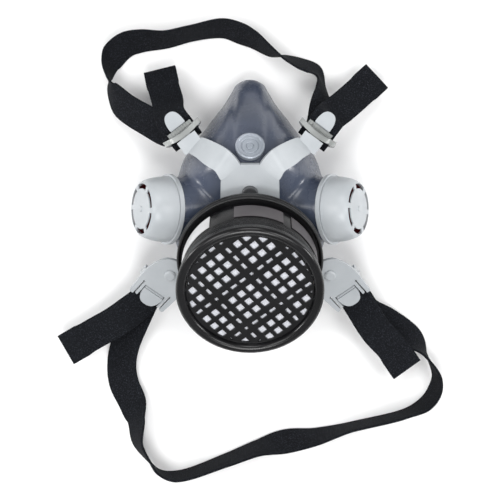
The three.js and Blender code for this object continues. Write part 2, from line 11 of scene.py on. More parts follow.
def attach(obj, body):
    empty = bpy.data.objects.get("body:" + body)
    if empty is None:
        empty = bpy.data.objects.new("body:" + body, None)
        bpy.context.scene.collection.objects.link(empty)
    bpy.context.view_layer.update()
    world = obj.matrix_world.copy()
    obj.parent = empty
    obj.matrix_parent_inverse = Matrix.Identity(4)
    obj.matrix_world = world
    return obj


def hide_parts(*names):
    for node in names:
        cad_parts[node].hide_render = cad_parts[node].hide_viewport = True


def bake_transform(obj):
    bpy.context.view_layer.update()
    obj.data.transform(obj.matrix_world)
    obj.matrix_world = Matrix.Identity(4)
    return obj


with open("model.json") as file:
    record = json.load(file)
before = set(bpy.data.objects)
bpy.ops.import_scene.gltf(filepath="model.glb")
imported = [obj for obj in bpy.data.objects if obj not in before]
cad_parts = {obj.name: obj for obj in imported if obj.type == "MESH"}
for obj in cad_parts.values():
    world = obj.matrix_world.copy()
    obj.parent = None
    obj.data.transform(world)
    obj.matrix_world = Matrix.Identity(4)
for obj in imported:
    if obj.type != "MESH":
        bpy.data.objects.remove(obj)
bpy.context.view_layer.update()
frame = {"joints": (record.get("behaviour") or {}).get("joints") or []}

MM = 0.001
SIDES = (("left", -1), ("right", 1))
JOINTS = {joint["name"]: joint for joint in frame["joints"]}

# Local frames of the sub-assemblies, in millimetres
FRONT_ORIGIN = Vector(JOINTS["cartridge_turn"]["pos_m"]) / MM
FRONT_TILT = math.radians(30)
VALVE_CENTRE = (49.5, 25, 40)
VALVE_TILT = math.radians(60)
BUCKLE_CENTRE = (40, 69.7, 45)
BUCKLE_TURN = math.atan2(0.6, 0.8)
STUD_AT = (49.6, -17.2)
CLIP_BASE = -12.7
CLIP_TURN = math.radians(-50.4)

FRONT = Matrix.Translation(FRONT_ORIGIN) @ Matrix.Rotation(FRONT_TILT, 4, "X")


def valve_frame(sign):
    place = Matrix.Translation((sign * VALVE_CENTRE[0], VALVE_CENTRE[1], VALVE_CENTRE[2]))
    return place @ Matrix.Rotation(sign * VALVE_TILT, 4, "Y")


def buckle_frame(sign):
    place = Matrix.Translation((sign * BUCKLE_CENTRE[0], BUCKLE_CENTRE[1], BUCKLE_CENTRE[2]))
    return place @ Matrix.Rotation(-sign * BUCKLE_TURN, 4, "Z")


def clip_frame(sign):
    turn = CLIP_TURN if sign > 0 else -math.pi - CLIP_TURN
    place = Matrix.Translation((sign * STUD_AT[0], STUD_AT[1], CLIP_BASE))
    return FRONT @ place @ Matrix.Rotation(turn, 4, "Z")


# Camera, lights and floor

CAMERA_HEIGHT = 0.65
CAMERA_LENS = 71.45
LIGHT_TARGET = (0, 0, 0.03)


def make_camera():
    data = bpy.data.cameras.new("camera")
    data.lens = CAMERA_LENS
    data.sensor_width = 36
    data.clip_start = 0.01
    camera = bpy.data.objects.new("camera", data)
    camera.location = (0, 0, CAMERA_HEIGHT)
    bpy.context.scene.collection.objects.link(camera)
    bpy.context.scene.camera = camera


def area_light(name, place, size, power):
    data = bpy.data.lights.new(name, "AREA")
    data.shape = "DISK"
    data.size = size
    data.energy = power
    light = bpy.data.objects.new(name, data)
    light.location = place
    aim = Vector(LIGHT_TARGET) - Vector(place)
    light.rotation_euler = aim.to_track_quat("-Z", "Y").to_euler()
    bpy.context.scene.collection.objects.link(light)


def make_world():
    world = bpy.data.worlds.new("studio")
    world.use_nodes = True
    background = world.node_tree.nodes["Background"]
    split = add(world, "ShaderNodeSeparateXYZ")
    direction = add(world, "ShaderNodeTexCoord").outputs["Generated"]
    world.node_tree.links.new(direction, split.inputs["Vector"])
    stops = [(0.0, (0.9, 0.9, 0.9)), (0.55, (0.75, 0.75, 0.75)), (0.95, (0.22, 0.22, 0.23))]
    sky = ramp(world, split.outputs["Z"], stops)
    world.node_tree.links.new(sky, background.inputs["Color"])
    background.inputs["Strength"].default_value = 0.6
    bpy.context.scene.world = world


def make_floor():
    bpy.ops.mesh.primitive_plane_add(size=6, location=(0, 0, -0.0002))
    floor = bpy.context.object
    floor.name = "floor"
    material, shader = new_material("floor_white", (0.96, 0.96, 0.96), 0.9)
    speckle = noise_ramp(material, 40, [(0.3, (0.955, 0.955, 0.955)), (0.7, (0.965, 0.965, 0.965))])
    material.node_tree.links.new(speckle, shader.inputs["Base Color"])
    floor.data.materials.append(material)


def make_studio():
    make_camera()
    make_world()
    for side, sign in SIDES:
        area_light(f"{side}_low", (sign * 0.6, 0.06, 0.24), 0.14, 1.1)
        area_light(f"{side}_box", (sign * 0.42, 0, 0.85), 0.4, 2.3)
    area_light("far_box", (0, 0.5, 0.8), 0.4, 2)
    area_light("near_box", (0, -0.42, 0.85), 0.4, 4)
    make_floor()
    bpy.context.scene.view_settings.view_transform = "Standard"


# Materials

def new_material(name, colour, roughness):
    material = bpy.data.materials.new(name)
    material.use_nodes = True
    shader = material.node_tree.nodes["Principled BSDF"]
    shader.inputs["Base Color"].default_value = (*colour, 1)
    shader.inputs["Roughness"].default_value = roughness
    return material, shader


def add(material, kind, **values):
    node = material.node_tree.nodes.new(kind)
    for name, value in values.items():
        if name in node.inputs:
            node.inputs[name].default_value = value
        else:
            setattr(node, name, value)
    return node


def object_coordinates(material):
    return add(material, "ShaderNodeTexCoord").outputs["Object"]


def noise_value(material, scale, detail=3.0):
    noise = add(material, "ShaderNodeTexNoise", Scale=scale, Detail=detail)
    material.node_tree.links.new(object_coordinates(material), noise.inputs["Vector"])
    return noise.outputs["Fac"]


def ramp(material, value, stops):
    node = add(material, "ShaderNodeValToRGB")
    elements = node.color_ramp.elements
    while len(elements) < len(stops):
        elements.new(0.5)
    for element, (place, colour) in zip(elements, stops):
        element.position = place
        element.color = (*colour, 1)
    material.node_tree.links.new(value, node.inputs["Fac"])
    return node.outputs["Color"]


def noise_ramp(material, scale, stops, detail=3.0):
    return ramp(material, noise_value(material, scale, detail), stops)


def value_range(material, value, low, high):
    node = add(material, "ShaderNodeMapRange")
    node.inputs["To Min"].default_value = low
    node.inputs["To Max"].default_value = high
    material.node_tree.links.new(value, node.inputs["Value"])
    return node.outputs["Result"]


def bump(material, shader, height, strength, distance):
    node = add(material, "ShaderNodeBump", Strength=strength, Distance=distance)
    material.node_tree.links.new(height, node.inputs["Height"])
    material.node_tree.links.new(node.outputs["Normal"], shader.inputs["Normal"])


def moulded(name, dark, light, roughness, grain=900, depth=0.00004, **sockets):
    """Moulded plastic or rubber: cloudy colour, uneven gloss and a fine moulded grain."""
    material, shader = new_material(name, light, roughness[0])
    links = material.node_tree.links
    links.new(noise_ramp(material, 45, [(0.35, dark), (0.65, light)]), shader.inputs["Base Color"])
    gloss = value_range(material, noise_value(material, 120), roughness[0], roughness[1])
    links.new(gloss, shader.inputs["Roughness"])
    bump(material, shader, noise_value(material, grain, 1.5), 0.3, depth)
    for socket, value in sockets.items():
        shader.inputs[socket.replace("_", " ")].default_value = value
    return material


def felt(name, dark, light, scale=1400):
    material, shader = new_material(name, light, 0.95)
    links = material.node_tree.links
    links.new(noise_ramp(material, scale, [(0.35, dark), (0.6, light)], 6), shader.inputs["Base Color"])
    bump(material, shader, noise_value(material, scale, 6), 0.6, 0.0003)
    shader.inputs["Sheen Weight"].default_value = 0.3
    return material


def mixed(material, factor, first, second):
    node = add(material, "ShaderNodeMix", data_type="RGBA")
    links = material.node_tree.links
    links.new(factor, node.inputs["Factor"])
    for socket, value in (("A", first), ("B", second)):
        slot = [i for i in node.inputs if i.name == socket and i.type == "RGBA"][0]
        if isinstance(value, tuple):
            slot.default_value = (*value, 1)
        else:
            links.new(value, slot)
    return [o for o in node.outputs if o.type == "RGBA"][0]


def math_node(material, operation, first, second=None):
    node = add(material, "ShaderNodeMath", operation=operation)
    for place, value in enumerate((first, second)):
        if value is None:
            continue
        if isinstance(value, (int, float)):
            node.inputs[place].default_value = value
        else:
            material.node_tree.links.new(value, node.inputs[place])
    return node.outputs[0]


RIBS_PER_METRE = 950
PICKS_PER_METRE = 620


def wave(material, distance, per_metre):
    return math_node(material, "SINE", math_node(material, "MULTIPLY", distance, math.tau * per_metre))


def webbing():
    """Woven elastic: fine ribs along the strap crossed by picks, with pale fibre specks."""
    material, shader = new_material("woven_elastic", (0.008, 0.009, 0.011), 0.85)
    links = material.node_tree.links
    uv = add(material, "ShaderNodeUVMap", uv_map="strap").outputs["UV"]
    split = add(material, "ShaderNodeSeparateXYZ")
    links.new(uv, split.inputs["Vector"])
    across = wave(material, split.outputs["X"], RIBS_PER_METRE)
    along = wave(material, split.outputs["Y"], PICKS_PER_METRE)
    weave = math_node(material, "MULTIPLY", across, along)
    height = math_node(material, "ADD", math_node(material, "MULTIPLY", weave, 0.5), across)
    speck = noise_ramp(material, 1500, [(0.52, (0.004, 0.0045, 0.006)), (0.75, (0.05, 0.055, 0.07))], 2)
    cloud = value_range(material, noise_value(material, 60), 0.2, 0.8)
    base = mixed(material, cloud, speck, (0.007, 0.008, 0.01))
    links.new(base, shader.inputs["Base Color"])
    bump(material, shader, height, 0.35, 0.00012)
    shader.inputs["Specular IOR Level"].default_value = 0.1
    return material


MATERIALS = {}


def make_materials():
    MATERIALS.update(
        rubber=moulded("slate_rubber", (0.046, 0.058, 0.088), (0.066, 0.08, 0.118), (0.22, 0.32), 700,
                       0.00002, Specular_IOR_Level=0.6),
        light=moulded("light_grey_plastic", (0.39, 0.415, 0.435), (0.45, 0.475, 0.495), (0.28, 0.42), 1200),
        badge=moulded("silver_badge", (0.27, 0.3, 0.34), (0.36, 0.39, 0.44), (0.25, 0.35), 1500,
                      Metallic=0.3),
        dark=moulded("dark_grey_plastic", (0.045, 0.048, 0.052), (0.07, 0.073, 0.078), (0.4, 0.55), 1000),
        black=moulded("black_plastic", (0.003, 0.003, 0.0035), (0.007, 0.007, 0.008), (0.2, 0.3), 900,
                      0.00001, Specular_IOR_Level=0.35),
        holder=moulded("black_rubber", (0.004, 0.004, 0.0045), (0.009, 0.009, 0.01), (0.3, 0.42), 800,
                       0.00002, Specular_IOR_Level=0.35),
        silicone=moulded("milky_silicone", (0.55, 0.53, 0.48), (0.66, 0.64, 0.58), (0.3, 0.4), 600),
        red=moulded("red_silicone", (0.5, 0.05, 0.06), (0.62, 0.09, 0.1), (0.3, 0.4), 600),
        # painted shade with a painted red reflection of the diaphragm, laid inside the valve covers; not a
        # real lining
        lining=moulded("shaded_lining", (0.17, 0.022, 0.03), (0.28, 0.04, 0.05), (0.5, 0.65), 600),
        clear=moulded("smoky_clear_plastic", (0.42, 0.44, 0.43), (0.62, 0.64, 0.63), (0.08, 0.16), 900,
                      0.00002, Transmission_Weight=0.45, Specular_IOR_Level=0.8),
        steel=moulded("pin_steel", (0.45, 0.46, 0.47), (0.6, 0.61, 0.62), (0.2, 0.35), 1500, 0.00002,
                      Metallic=1.0),
        label=moulded("brown_label", (0.062, 0.056, 0.06), (0.085, 0.077, 0.082), (0.4, 0.55), 1500, 0.00001),
        sticker=moulded("white_sticker", (0.62, 0.62, 0.62), (0.75, 0.75, 0.76), (0.35, 0.5), 1500, 0.00001),
        felt=felt("filter_felt", (0.52, 0.53, 0.57), (0.72, 0.73, 0.78)),
        paper=felt("filter_paper", (0.5, 0.47, 0.4), (0.7, 0.67, 0.6), 900),
        charcoal=felt("charcoal_granules", (0.008, 0.008, 0.008), (0.05, 0.05, 0.05), 700),
        webbing=webbing(),
    )


# Mesh tools: shapes are (points in millimetres, faces) in a local frame

def mesh_object(name, shape, matrix=None, uv=None):
    points, faces = shape
    matrix = matrix or Matrix.Identity(4)
    placed = [(matrix @ Vector(point)) * MM for point in points]
    mesh = bpy.data.meshes.new(name)
    mesh.from_pydata(placed, [], faces)
    mesh.validate()
    obj = bpy.data.objects.new(name, mesh)
    bpy.context.scene.collection.objects.link(obj)
    if uv is not None:
        layer = mesh.uv_layers.new(name="strap")
        for loop in mesh.loops:
            layer.data[loop.index].uv = uv[loop.vertex_index]
    face_out(mesh)
    return obj


def face_out(mesh):
    work = bmesh.new()
    work.from_mesh(mesh)
    bmesh.ops.recalc_face_normals(work, faces=work.faces)
    work.to_mesh(mesh)
    work.free()


def joined(*shapes):
    points, faces = [], []
    for more_points, more_faces in shapes:
        start = len(points)
        points += list(more_points)
        faces += [[start + corner for corner in face] for face in more_faces]
    return points, faces


def moved(shape, x=0, y=0, z=0, turn=0, about="Z"):
    matrix = Matrix.Translation((x, y, z)) @ Matrix.Rotation(turn, 4, about)
    return [matrix @ Vector(point) for point in shape[0]], shape[1]


def lathe(profile, segments=128):
    """A solid turned about z; points on the axis become one point each."""
    points, rows = [], []
    for radius, height in profile:
        if radius < 1e-6:
            rows.append([len(points)] * segments)
            points.append((0, 0, height))
            continue
        rows.append(list(range(len(points), len(points) + segments)))
        for step in range(segments):
            angle = 2 * math.pi * step / segments
            points.append((radius * math.cos(angle), radius * math.sin(angle), height))
    faces = []
    for row, following in zip(rows, rows[1:] + rows[:1]):
        for step in range(segments):
            after = (step + 1) % segments
            corners = [row[step], row[after], following[after], following[step]]
            distinct = list(dict.fromkeys(corners))
            if len(distinct) > 2:
                faces.append(distinct)
    return points, faces


def ring(inner, outer, low, high, segments=128):
    return lathe([(inner, low), (outer, low), (outer, high), (inner, high)], segments)


def disc(radius, low, high, segments=96):
    return lathe([(0, low), (radius, low), (radius, high), (0, high)], segments)


def box(low, high):
    xs, ys, zs = zip(low, high)
    points = [(x, y, z) for x in xs for y in ys for z in zs]
    return points, [[0, 1, 3, 2], [4, 6, 7, 5], [0, 4, 5, 1], [2, 3, 7, 6], [0, 2, 6, 4], [1, 5, 7, 3]]


def prism(outline, low, high):
    count = len(outline)
    points = [(x, y, low) for x, y in outline] + [(x, y, high) for x, y in outline]
    sides = [[i, (i + 1) % count, (i + 1) % count + count, i + count] for i in range(count)]
    return points, [list(range(count))[::-1], list(range(count, 2 * count)), *sides]


def rod(radius, start, end, segments=32):
    along = Vector(end) - Vector(start)
    turn = along.to_track_quat("Z", "Y").to_matrix().to_4x4()
    points, faces = disc(radius, 0, along.length, segments)
    place = Matrix.Translation(start) @ turn
    return [place @ Vector(point) for point in points], faces


def arc(radius, start, end, steps):
    angles = [start + (end - start) * step / steps for step in range(steps + 1)]
    return [(radius * math.cos(angle), radius * math.sin(angle)) for angle in angles]


def apply_modifiers(obj):
    graph = bpy.context.evaluated_depsgraph_get()
    mesh = bpy.data.meshes.new_from_object(obj.evaluated_get(graph))
    obj.modifiers.clear()
    obj.data = mesh
    return obj


def combine(base, tools, operation):
    """Joins tools to base, or cuts them from it, in one solid mesh."""
    for tool in tools:
        step = base.modifiers.new(operation, "BOOLEAN")
        step.operation = operation
        step.solver = "MANIFOLD"
        step.object = tool
    apply_modifiers(base)
    for tool in tools:
        bpy.data.objects.remove(tool)
    return base


def soften(obj, width, segments=3, angle=30):
    """Rounds the edges, in millimetres, and shades the rest smooth."""
    step = obj.modifiers.new("rounded_edges", "BEVEL")
    step.width = width * MM
    step.segments = segments
    step.limit_method = "ANGLE"
    step.angle_limit = math.radians(angle)
    step.harden_normals = True
    shade_by_angle(obj)


def shade_by_angle(obj, angle=35):
    mesh = obj.data
    work = bmesh.new()
    work.from_mesh(mesh)
    for edge in work.edges:
        flat = len(edge.link_faces) == 2 and edge.calc_face_angle(0) < math.radians(angle)
        edge.smooth = flat
    for face in work.faces:
        face.smooth = True
    work.to_mesh(mesh)
    work.free()


def finish_piece(obj, material, body, replaced):
    obj.data.materials.clear()
    obj.data.materials.append(MATERIALS[material])
    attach(obj, body)
    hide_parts(*replaced)


# Curves

def natural_table(rows, spacing):
    """Rows [key, values...] interpolated smoothly to an even spacing of the key."""
    table = np.array(rows, float)
    keys = table[:, 0]
    slopes = np.gradient(table, keys, axis=0)
    wanted = np.arange(keys[0], keys[-1] + 1e-6, spacing)
    out = []
    for key in wanted:
        i = min(max(np.searchsorted(keys, key) - 1, 0), len(keys) - 2)
        span = keys[i + 1] - keys[i]
        t = (key - keys[i]) / span
        a, b = table[i], table[i + 1]
        out.append((2 * t**3 - 3 * t**2 + 1) * a + (t**3 - 2 * t**2 + t) * span * slopes[i]
                   + (3 * t**2 - 2 * t**3) * b + (t**3 - t**2) * span * slopes[i + 1])
    return out


def spline_point(points, place):
    """Centripetal Catmull-Rom curve through the points; place counts in spans."""
    count = len(points)
    i = min(int(place), count - 2)
    t = place - i
    b, c = points[i], points[i + 1]
    a = points[i - 1] if i > 0 else 2 * b - c
    d = points[i + 2] if i + 2 < count else 2 * c - b
    da, db, dc = [max((q - p).length, 1e-4) ** 0.5 for p, q in ((a, b), (b, c), (c, d))]
    m1 = ((b - a) / da - (c - a) / (da + db) + (c - b) / db) * db
    m2 = ((c - b) / db - (d - b) / (db + dc) + (d - c) / dc) * db
    return b + m1 * t + (3 * (c - b) - 2 * m1 - m2) * t**2 + (2 * (b - c) + m1 + m2) * t**3


# Facepiece

LIP_WIDTH = 9
LIP_THICK = 2.6
WALL = 2.8
SECTION_POWER = 2.2
SKIN_VOXEL = 0.75
SECTIONS = [
    [-33, 4, 9, 5],
    [-31, 14, 14.5, 4],
    [-26, 25, 21, 2.5],
    [-16, 37, 28.6, 0],
    [0, 46.5, 37.8, 0],
    [20, 50, 49.3, 0],
    [40, 49, 60.9, 0],
    [48, 46.5, 65.2, 0],
    [60, 42, 64.2, 0],
    [68, 36.5, 59.4, 1.5],
    [76, 30, 53, 3],
    [85, 23, 44.5, 5.5],
    [94, 15.5, 34.5, 8.5],
    [102, 10.5, 25.5, 11],
    [107, 7, 18.5, 12.5],
    [109, 3, 15.5, 13.5],
]
CREASE_AT = 10.5
CREASE_WIDTH = 2.2
CREASE_DEPTH = 1.5
BEAD_HEIGHT = 3.2
BEAD_OUT = 1.1
NECK_PROFILE = [(0, -22), (24.5, -22), (22.8, -15), (20.8, -8), (19.6, -2), (19.4, -0.3), (0, -0.3)]


def arch(half_width, ridge, edge, steps, crease=0.0, bead=0.0):
    power = 2 / SECTION_POWER
    points = []
    for step in range(steps + 1):
        angle = math.pi * step / steps
        across = math.copysign(abs(math.cos(angle)) ** power, math.cos(angle))
        up = (ridge - edge) * max(math.sin(angle), 0) ** power
        x = half_width * across
        x += math.copysign(bead * math.sin(math.pi * min(up / BEAD_HEIGHT, 1)), across)
        dip = crease * math.exp(-(((abs(x) - CREASE_AT) / CREASE_WIDTH) ** 2))
        points.append((x, edge + up - dip))
    return points


def loft(rows):
    """A solid through rows of points of equal count, closed at both ends."""
    count = len(rows[0])
    points = [point for row in rows for point in row]
    faces = [list(range(count))[::-1], list(range(len(points) - count, len(points)))]
    for start in range(0, len(points) - count, count):
        for i in range(count):
            j = (i + 1) % count
            faces.append([start + i, start + j, start + count + j, start + count + i])
    return points, faces


def smooth_step(low, high, value):
    t = min(max((value - low) / (high - low), 0), 1)
    return t * t * (3 - 2 * t)


def outer_shell():
    rows = []
    for y, half_width, ridge, edge in natural_table(SECTIONS, 1.0):
        crease = CREASE_DEPTH * smooth_step(58, 66, y) * (1 - smooth_step(94, 104, y))
        bead = BEAD_OUT * min(half_width / 12, 1)
        rows.append([(x, y, z) for x, z in arch(half_width, ridge, edge, 200, crease, bead)])
    return loft(rows)


def cavity():
    rows = []
    for y, half_width, ridge, edge in natural_table(SECTIONS[2:13], 1.5):
        inner = arch(half_width - WALL, ridge - WALL * 1.15, edge + LIP_THICK, 90)
        lip = half_width - LIP_WIDTH
        mouth = [(-lip, edge + LIP_THICK), (-lip, -20), (lip, -20), (lip, edge + LIP_THICK)]
        rows.append([(x, y, z) for x, z in inner + mouth])
    return loft(rows)


def blend_barrels(shell):
    """Smooths the skin where the valve barrels grow out of the shell, away from their bores."""
    group = shell.vertex_groups.new(name="barrels")
    for side, sign in SIDES:
        inverse = valve_frame(sign).inverted()
        for vertex in shell.data.vertices:
            local = inverse @ (vertex.co / MM)
            radius = math.hypot(local.x, local.y)
            weight = smooth_step(17, 18.5, radius) * (1 - smooth_step(38, 46, radius))
            weight *= smooth_step(-32, -24, local.z) * (1 - smooth_step(-5, -2, local.z))
            if weight > 0 and local.z < 0:
                group.add([vertex.index], weight, "REPLACE")
    relax = shell.modifiers.new("barrel_blend", "SMOOTH")
    relax.factor = 0.5
    relax.iterations = 90
    relax.vertex_group = "barrels"
    apply_modifiers(shell)


def make_facepiece():
    shell = mesh_object("facepiece_rubber", outer_shell())
    necks, bores = [], []
    for side, sign in SIDES:
        necks.append(mesh_object("neck", lathe(NECK_PROFILE), valve_frame(sign)))
        bores.append(mesh_object("neck_bore", disc(15, -30, 1), valve_frame(sign)))
    boss = mesh_object("port_boss", disc(26, -22, -15.8), FRONT)
    bore = mesh_object("port_bore", disc(20.5, -28, -13.8), FRONT)
    combine(shell, necks, "UNION")
    combine(shell, [mesh_object("cavity", cavity())], "DIFFERENCE")
    combine(shell, [boss], "UNION")
    combine(shell, [bore, *bores], "DIFFERENCE")
    remesh = shell.modifiers.new("even_skin", "REMESH")
    remesh.mode = "VOXEL"
    remesh.voxel_size = SKIN_VOXEL * MM
    remesh.use_smooth_shade = True
    relax = shell.modifiers.new("relax", "SMOOTH")
    relax.factor = 0.5
    relax.iterations = 12
    apply_modifiers(shell)
    blend_barrels(shell)
    for vertex in shell.data.vertices:
        vertex.co.z = max(vertex.co.z, 0)
    for face in shell.data.polygons:
        face.use_smooth = True
    finish_piece(shell, "rubber", "mask", ["facepiece"])


# Round parts

def add_round(name, profile, matrix, material, body, replaced, segments=160, edge=0.25):
    piece = mesh_object(name, lathe(profile, segments), matrix)
    soften(piece, edge)
    finish_piece(piece, material, body, replaced)


BADGE_AT = (0, 60.5, 64.6)
BADGE_TILT = -0.42


def make_badge():
    place = Matrix.Translation(BADGE_AT) @ Matrix.Rotation(BADGE_TILT, 4, "X")
    profile = [(0, -0.5), (8.7, -0.5), (8.7, 2.2), (8.1, 2.7), (7.5, 2.7), (7.1, 2.1), (5.4, 2.1), (5.2, 1.7),
               (4.9, 1.7), (4.7, 2.1), (2.5, 2.1), (2.3, 1.7), (2, 1.7), (1.8, 2.1), (0, 2.1)]
    add_round("nose_disc", profile, place, "badge", "mask", ["nose_badge"], 96, 0.15)


def make_holder():
    profile = [
        (20.5, -15.5), (23, -15.5), (23, -4.5), (24, -3.4), (26, -3), (42.8, -3), (43.7, -2.7), (44, -2),
        (44, -0.7), (43.3, 0), (44, 0.7), (44, 2), (43.6, 2.7), (43, 3), (42.5, 2.9), (42.2, 2.4),
        (41.8, 0.4), (20.5, 0.4),
    ]
    add_round("holder_ring", profile, FRONT, "holder", "mask", ["cartridge_holder"])


RIDGE_PITCH = 1.5
RIDGE_ROWS = [20.6 + RIDGE_PITCH * row for row in range(4)]


def make_can():
    outer = [(40, 3.3)]
    for height in RIDGE_ROWS:
        outer += [(40, height), (39.75, height + 0.45), (40, height + 0.9)]
    outer.append((40, 30))
    profile = [(14.8, -10), (17.4, -10), (17.4, 3.3), *outer, (38.2, 30), (38.2, 5.3), (14.8, 5.3)]
    add_round("filter_can", profile, FRONT, "black", "cartridge", ["cartridge_can"],
              160, 0.12)


def rim_profile():
    lip = []
    for step in range(13):
        angle = math.pi * (step / 12 - 0.25)
        lip.append((39.6 + 2.9 * math.cos(angle), 35.4 + 2.6 * math.sin(angle)))
    ribs = []
    for row in range(3):
        ribs += [(41.6, 27.6 + row * 1.2), (41.6, 28.1 + row * 1.2), (41.35, 28.4 + row * 1.2)]
    return [(40.3, 27), (41.4, 27), *ribs, (41.6, 31.2), (41.9, 31.9), *lip, (36.8, 36.2), (36.8, 30.3),
            (40.3, 30.3)]


def make_rim():
    piece = mesh_object("front_rim", lathe(rim_profile(), 192), FRONT)
    shade_by_angle(piece, 40)
    finish_piece(piece, "black", "front_cap", ["cartridge_front_rim"])


ROW_PITCH = 6.6
WIDE_HOLE = 4.3
NARROW_HOLE = 2.2
NARROW_ROW_AT = 8
LATTICE_TURN = math.radians(40.4)
GRILLE_RADIUS = 36.5


def make_grille():
    turned = FRONT @ Matrix.Rotation(LATTICE_TURN, 4, "Z")
    web = mesh_object("grille_web", disc(GRILLE_RADIUS, 33.7, 34.9, 160), turned)
    rows = range(-6, 6)
    boxes = []
    for a in rows:
        for b in rows:
            middle = [NARROW_ROW_AT + row * ROW_PITCH for row in (a, b)]
            half = [(NARROW_HOLE if row % 4 == 0 else WIDE_HOLE) / 2 for row in (a, b)]
            if math.hypot(*middle) < GRILLE_RADIUS + 2:
                boxes.append(box((middle[0] - half[0], middle[1] - half[1], 30),
                                 (middle[0] + half[0], middle[1] + half[1], 37)))
    holes = mesh_object("grille_holes", joined(*boxes), turned)
    clip = mesh_object("grille_edge", disc(GRILLE_RADIUS - 0.9, 29, 38, 160), turned)
    combine(holes, [clip], "INTERSECT")
    combine(web, [holes], "DIFFERENCE")
    soften(web, 0.2, 2)
    finish_piece(web, "black", "front_cap", ["cartridge_grille"])


def make_filter_layers():
    layers = (
        ("felt_face", "prefilter_pad", disc(GRILLE_RADIUS, 30.4, 33.4, 128), "felt", "filter_felt"),
        ("paper_layer", "particle_filter", disc(37.9, 18.3, 28.5, 128), "paper", "filter_paper"),
        ("charcoal_bed", "sorbent_bed", disc(37.9, 6.9, 18, 128), "charcoal", "charcoal"),
        ("felt_back", "rear_screen", disc(37.9, 5.6, 6.6, 128), "felt", "filter_felt"),
    )
    for name, node, shape, material, slot in layers:
        piece = mesh_object(name, shape, FRONT)
        shade_by_angle(piece)
        finish_piece(piece, material, "cartridge", [node])


def make_labels():
    bands = (
        ("top_band", "cartridge_label", 62, 103, "label", "label_brown"),
        ("left_band", "sticker_left", 125, 170, "sticker", "label_white"),
        ("right_band", "sticker_right", 14, 54, "label", "label_brown"),
    )
    for name, node, start, end, material, slot in bands:
        limits = math.radians(start), math.radians(end)
        outline = arc(40.7, *limits, 40) + arc(40.3, *limits[::-1], 40)
        piece = mesh_object(name, prism(outline, 7, 19.5), FRONT)
        shade_by_angle(piece)
        finish_piece(piece, material, "cartridge", [node])


def make_port():
    seat = mesh_object("port_seat", lathe([(17.8, -24.3), (22, -24.3), (22, -22.3), (20.2, -22.3), (20.2, -5),
                                           (17.8, -5)], 128), FRONT)
    bar = box((-1, 1.5, -15.5), (1, 15.2, -13.3))
    turns = [math.radians(120 * number) for number in range(3)]
    spokes = [mesh_object("spoke", moved(bar, turn=turn), FRONT) for turn in turns]
    rings = [mesh_object("shoulder", ring(14.5, 18.3, -16, -13.3), FRONT),
             mesh_object("eye", ring(1.5, 3.2, -15.5, -13.3, 48), FRONT)]
    combine(seat, [*rings, *spokes], "UNION")
    soften(seat, 0.2)
    finish_piece(seat, "black", "mask", ["inhalation_seat"])
    flap_outline = [(0, -17.2), (16.2, -17.2), (16.6, -17), (16.6, -16.6), (16.2, -16.4), (1.2, -16.4),
                    (1.2, -14), (0, -14)]
    flap = mesh_object("port_flap", lathe(flap_outline), FRONT)
    shade_by_angle(flap)
    finish_piece(flap, "silicone", "inhalation_flap", ["inhalation_diaphragm"])
    seal = [(14.8, -13), (17.3, -13), (17.3, -12.2), (16.9, -11.8), (17.3, -11.4), (17.3, -10.6),
            (14.8, -10.6)]
    add_round("port_seal", seal, FRONT, "silicone", "gasket", ["port_gasket"], 128, 0.15)


COVER_TOP = 19
# heights inside a valve cover between which the painted shade is laid
CUP_SHADE_LOW, CUP_SHADE_TOP = 3, 16.5
SLOT_COUNT = 6
SLOT_ARC = math.tau / SLOT_COUNT - 0.22


def make_exhalation_valves():
    flange = [(12.5, -8), (14.7, -8), (14.7, 0), (21.6, 0), (21.6, 2.4), (14, 2.4), (13.6, 3.2), (12.5, 3.2)]
    dish = [(0, -1), (1.2, -1), (1.2, 3.6), (14.3, 3.6), (14.6, 3.8), (14.6, 4.3), (14.3, 4.5), (0, 4.5)]
    crossbar = box((-13, -0.8, -2), (13, 0.8, 1.8))
    for side, sign in SIDES:
        place = valve_frame(sign)
        seat = mesh_object(f"valve_seat_{side}", lathe(flange), place)
        bars = [mesh_object("bar", moved(crossbar, turn=turn), place) for turn in (0, math.pi / 2)]
        eye = mesh_object("eye", disc(3, -2, 1.8, 48), place)
        combine(seat, [*bars, eye], "UNION")
        combine(seat, [mesh_object("eye_bore", disc(1.5, -3, 3, 48), place)], "DIFFERENCE")
        soften(seat, 0.25)
        finish_piece(seat, "light", "mask", [f"exhalation_seat_{side}"])
        flap = mesh_object(f"valve_flap_{side}", lathe(dish), place)
        shade_by_angle(flap)
        finish_piece(flap, "red", f"exhalation_flap_{side}", [f"exhalation_diaphragm_{side}"])
        make_cover(side, place)


def paint_cup_shade(cup, place):
    """Paints shade inside a valve cover, below its slots, with a painted red reflection of the diaphragm."""
    cup.data.materials.append(MATERIALS["lining"])
    inverse = place.inverted()
    for face in cup.data.polygons:
        local = inverse @ (face.center / MM)
        normal = inverse.to_3x3() @ face.normal
        inner_wall = local.z < CUP_SHADE_TOP and normal.x * local.x + normal.y * local.y < 0
        under_disc = normal.z < -0.5
        if local.z > CUP_SHADE_LOW and (inner_wall or under_disc):
            # these faces get the painted shade and painted red reflection
            face.material_index = 1


